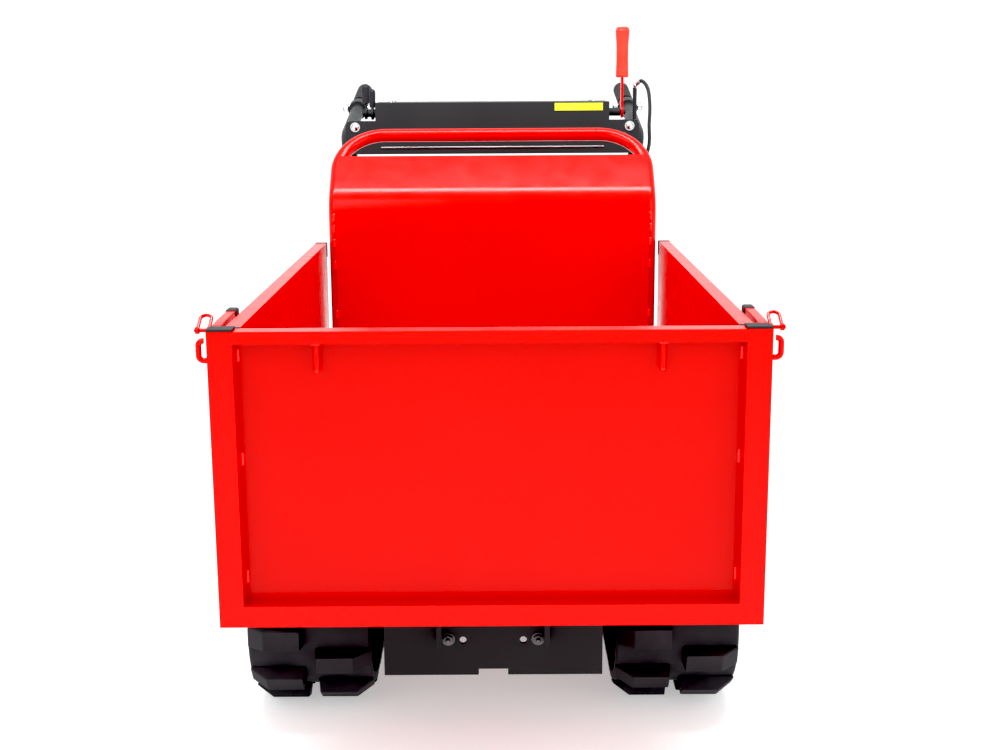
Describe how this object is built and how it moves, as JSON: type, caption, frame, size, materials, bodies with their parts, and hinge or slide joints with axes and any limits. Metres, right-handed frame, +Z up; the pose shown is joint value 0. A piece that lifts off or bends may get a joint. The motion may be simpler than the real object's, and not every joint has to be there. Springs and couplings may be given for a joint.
{
  "type": "tracked power carrier",
  "caption": "Walk-behind tracked load carrier: red drop-side tipping bed with latched gate and bent headboard on black rubber tracks, engine, console and handles behind.",
  "frame": {"origin": "on the ground, in the middle of the machine's outline", "axes": "+Z up, +Y towards the rear where the operator walks, +X to the machine's left as it drives forward (right in the picture)"},
  "size_m": [0.72, 1.6434, 1.027],
  "materials": {
    "black_paint": "semi-gloss black paint",
    "plated_steel": "zinc-plated steel",
    "wheel_iron": "cast iron, running faces worn bright",
    "track_rubber": "matte black rubber",
    "soft_rubber": "satin black rubber",
    "cable_sleeve": "satin black sleeve",
    "cast_alloy": "as-cast aluminium",
    "muffler_steel": "heat-dulled steel",
    "black_plastic": "fine-grained black plastic",
    "red_paint": "bright gloss red paint",
    "tank_red": "gloss red plastic",
    "grip_red": "satin red plastic",
    "bright_steel": "bright plated steel"
  },
  "bodies": {
    "chassis": {"chassis_rails": "black_paint", "front_plate": "black_paint", "cross_tubes": "black_paint", "engine_deck": "black_paint", "tip_pivot_pin": "plated_steel", "bed_buffers": "soft_rubber", "left_track_frame": "black_paint", "right_track_frame": "black_paint", "idler_yokes": "plated_steel", "wheel_axles": "plated_steel", "shaft_bearings": "black_paint", "left_track": "track_rubber", "right_track": "track_rubber", "gearbox": "cast_alloy", "drive_belt": "soft_rubber", "belt_cover": "red_paint", "crankcase": "cast_alloy", "cylinder_block": "cast_alloy", "starter_cover": "red_paint", "fuel_tank": "tank_red", "muffler": "muffler_steel", "air_cleaner": "black_plastic", "handle_tubes": "black_paint", "handle_grips": "soft_rubber", "console_panel": "black_paint", "control_cables": "cable_sleeve"},
    "bed": {"bed_frame": "red_paint", "headboard_panel": "red_paint", "headboard_hoop": "red_paint", "hinge_pins": "plated_steel"},
    "gate": {"front_gate": "red_paint", "gate_caps": "black_plastic"},
    "left_side": {"left_side": "red_paint"},
    "right_side": {"right_side": "red_paint"},
    "left_latch": {"left_latch_lever": "red_paint"},
    "right_latch": {"right_latch_lever": "red_paint"},
    "left_bail": {"left_bail": "red_paint"},
    "right_bail": {"right_bail": "red_paint"},
    "left_sprocket": {"left_sprocket": "wheel_iron"},
    "right_sprocket": {"right_sprocket": "wheel_iron"},
    "left_idler": {"left_idler": "wheel_iron"},
    "right_idler": {"right_idler": "wheel_iron"},
    "engine_pulley": {"engine_pulley": "plated_steel"},
    "gearbox_pulley": {"gearbox_pulley": "plated_steel"},
    "tensioner": {"tensioner_arm": "plated_steel"},
    "drive_lever": {"drive_lever": "red_paint", "drive_lever_grip": "grip_red"},
    "left_steering": {"left_steering_lever": "bright_steel"},
    "right_steering": {"right_steering_lever": "bright_steel"},
    "gear_lever": {"gear_lever": "black_plastic"},
    "throttle_lever": {"throttle_lever": "black_plastic"},
    "starter_grip": {"starter_grip": "black_plastic"},
    "fuel_cap": {"fuel_cap": "black_plastic"},
    "left_roller_1": {"left_roller_1": "wheel_iron"},
    "left_roller_2": {"left_roller_2": "wheel_iron"},
    "left_roller_3": {"left_roller_3": "wheel_iron"},
    "right_roller_1": {"right_roller_1": "wheel_iron"},
    "right_roller_2": {"right_roller_2": "wheel_iron"},
    "right_roller_3": {"right_roller_3": "wheel_iron"}
  },
  "joints": [
    {"name": "bed_tip", "type": "hinge", "parent": "chassis", "child": "bed", "pos_m": [0, -0.604, 0.238], "axis": [1, 0, 0], "range_deg": [0, 55]},
    {"name": "gate_swing", "type": "hinge", "parent": "bed", "child": "gate", "pos_m": [0, -0.781, 0.26], "axis": [-1, 0, 0], "range_deg": [-90, 0]},
    {"name": "left_side_drop", "type": "hinge", "parent": "bed", "child": "left_side", "pos_m": [-0.3155, -0.35, 0.2875], "axis": [0, 1, 0], "range_deg": [-90, 0]},
    {"name": "right_side_drop", "type": "hinge", "parent": "bed", "child": "right_side", "pos_m": [0.3155, -0.35, 0.2875], "axis": [0, -1, 0], "range_deg": [-90, 0]},
    {"name": "left_latch_swing", "type": "hinge", "parent": "left_side", "child": "left_latch", "pos_m": [-0.3315, -0.768, 0.629], "axis": [1, 0, 0], "range_deg": [0, 110]},
    {"name": "left_bail_swing", "type": "hinge", "parent": "left_latch", "child": "left_bail", "pos_m": [-0.3485, -0.78, 0.633], "axis": [1, 0, 0], "range_deg": [0, 150]},
    {"name": "right_latch_swing", "type": "hinge", "parent": "right_side", "child": "right_latch", "pos_m": [0.3315, -0.768, 0.629], "axis": [1, 0, 0], "range_deg": [0, 110]},
    {"name": "right_bail_swing", "type": "hinge", "parent": "right_latch", "child": "right_bail", "pos_m": [0.3485, -0.78, 0.633], "axis": [1, 0, 0], "range_deg": [0, 150]},
    {"name": "left_track_drive", "type": "hinge", "parent": "chassis", "child": "left_sprocket", "pos_m": [-0.27, 0.39196, 0.133], "axis": [1, 0, 0], "continuous": true},
    {"name": "left_idler_turn", "type": "hinge", "parent": "chassis", "child": "left_idler", "pos_m": [-0.27, -0.417, 0.133], "axis": [1, 0, 0], "continuous": true},
    {"name": "left_roller_1_turn", "type": "hinge", "parent": "chassis", "child": "left_roller_1", "pos_m": [-0.27, -0.21476, 0.0835], "axis": [1, 0, 0], "continuous": true},
    {"name": "left_roller_2_turn", "type": "hinge", "parent": "chassis", "child": "left_roller_2", "pos_m": [-0.27, -0.01252, 0.0835], "axis": [1, 0, 0], "continuous": true},
    {"name": "left_roller_3_turn", "type": "hinge", "parent": "chassis", "child": "left_roller_3", "pos_m": [-0.27, 0.18972, 0.0835], "axis": [1, 0, 0], "continuous": true},
    {"name": "right_track_drive", "type": "hinge", "parent": "chassis", "child": "right_sprocket", "pos_m": [0.27, 0.39196, 0.133], "axis": [1, 0, 0], "continuous": true},
    {"name": "right_idler_turn", "type": "hinge", "parent": "chassis", "child": "right_idler", "pos_m": [0.27, -0.417, 0.133], "axis": [1, 0, 0], "continuous": true},
    {"name": "right_roller_1_turn", "type": "hinge", "parent": "chassis", "child": "right_roller_1", "pos_m": [0.27, -0.21476, 0.0835], "axis": [1, 0, 0], "continuous": true},
    {"name": "right_roller_2_turn", "type": "hinge", "parent": "chassis", "child": "right_roller_2", "pos_m": [0.27, -0.01252, 0.0835], "axis": [1, 0, 0], "continuous": true},
    {"name": "right_roller_3_turn", "type": "hinge", "parent": "chassis", "child": "right_roller_3", "pos_m": [0.27, 0.18972, 0.0835], "axis": [1, 0, 0], "continuous": true},
    {"name": "engine_spin", "type": "hinge", "parent": "chassis", "child": "engine_pulley", "pos_m": [0.162, 0.306, 0.415], "axis": [1, 0, 0], "continuous": true},
    {"name": "gearbox_input_turn", "type": "hinge", "parent": "chassis", "child": "gearbox_pulley", "pos_m": [0.162, 0.448, 0.252], "axis": [1, 0, 0], "continuous": true},
    {"name": "drive_lever_swing", "type": "hinge", "parent": "chassis", "child": "drive_lever", "pos_m": [0.26, 0.42, 0.861], "axis": [-1, 0, 0], "range_deg": [0, 65], "stiffness_Nm_per_rad": 2, "springref_deg": -11.46},
    {"name": "tensioner_swing", "type": "hinge", "parent": "chassis", "child": "tensioner", "pos_m": [0.1505, 0.4677, 0.34463], "axis": [1, 0, 0], "range_deg": [0, 7.1]},
    {"name": "left_steering_squeeze", "type": "hinge", "parent": "chassis", "child": "left_steering", "pos_m": [-0.292, 0.64963, 0.86466], "axis": [1, 0, 0], "range_deg": [0, 10], "stiffness_Nm_per_rad": 6, "springref_deg": -6.88},
    {"name": "right_steering_squeeze", "type": "hinge", "parent": "chassis", "child": "right_steering", "pos_m": [0.292, 0.64963, 0.86466], "axis": [1, 0, 0], "range_deg": [0, 10], "stiffness_Nm_per_rad": 6, "springref_deg": -6.88},
    {"name": "gear_shift", "type": "hinge", "parent": "chassis", "child": "gear_lever", "pos_m": [-0.254, 0.42, 0.861], "axis": [-1, 0, 0], "range_deg": [-20, 20]},
    {"name": "throttle_set", "type": "hinge", "parent": "chassis", "child": "throttle_lever", "pos_m": [-0.238, 0.386, 0.861], "axis": [-1, 0, 0], "range_deg": [-10, 30]},
    {"name": "starter_pull", "type": "slide", "parent": "chassis", "child": "starter_grip", "axis": [0, 1, 0], "range_m": [0, 0.14], "stiffness_N_per_m": 60, "springref_m": -0.05},
    {"name": "fuel_cap_turn", "type": "hinge", "parent": "chassis", "child": "fuel_cap", "pos_m": [0.016, 0.356, 0.62], "axis": [0, 0, 1], "range_deg": [0, 90]}
  ],
  "couplings": [
    {"joint": "left_idler_turn", "follows": "left_track_drive", "ratio": 1},
    {"joint": "left_roller_1_turn", "follows": "left_track_drive", "ratio": 2.1},
    {"joint": "left_roller_2_turn", "follows": "left_track_drive", "ratio": 2.1},
    {"joint": "left_roller_3_turn", "follows": "left_track_drive", "ratio": 2.1},
    {"joint": "right_idler_turn", "follows": "right_track_drive", "ratio": 1},
    {"joint": "right_roller_1_turn", "follows": "right_track_drive", "ratio": 2.1},
    {"joint": "right_roller_2_turn", "follows": "right_track_drive", "ratio": 2.1},
    {"joint": "right_roller_3_turn", "follows": "right_track_drive", "ratio": 2.1},
    {"joint": "gearbox_input_turn", "follows": "engine_spin", "ratio": 0.661},
    {"joint": "tensioner_swing", "follows": "drive_lever_swing", "ratio": 0.1085}
  ]
}
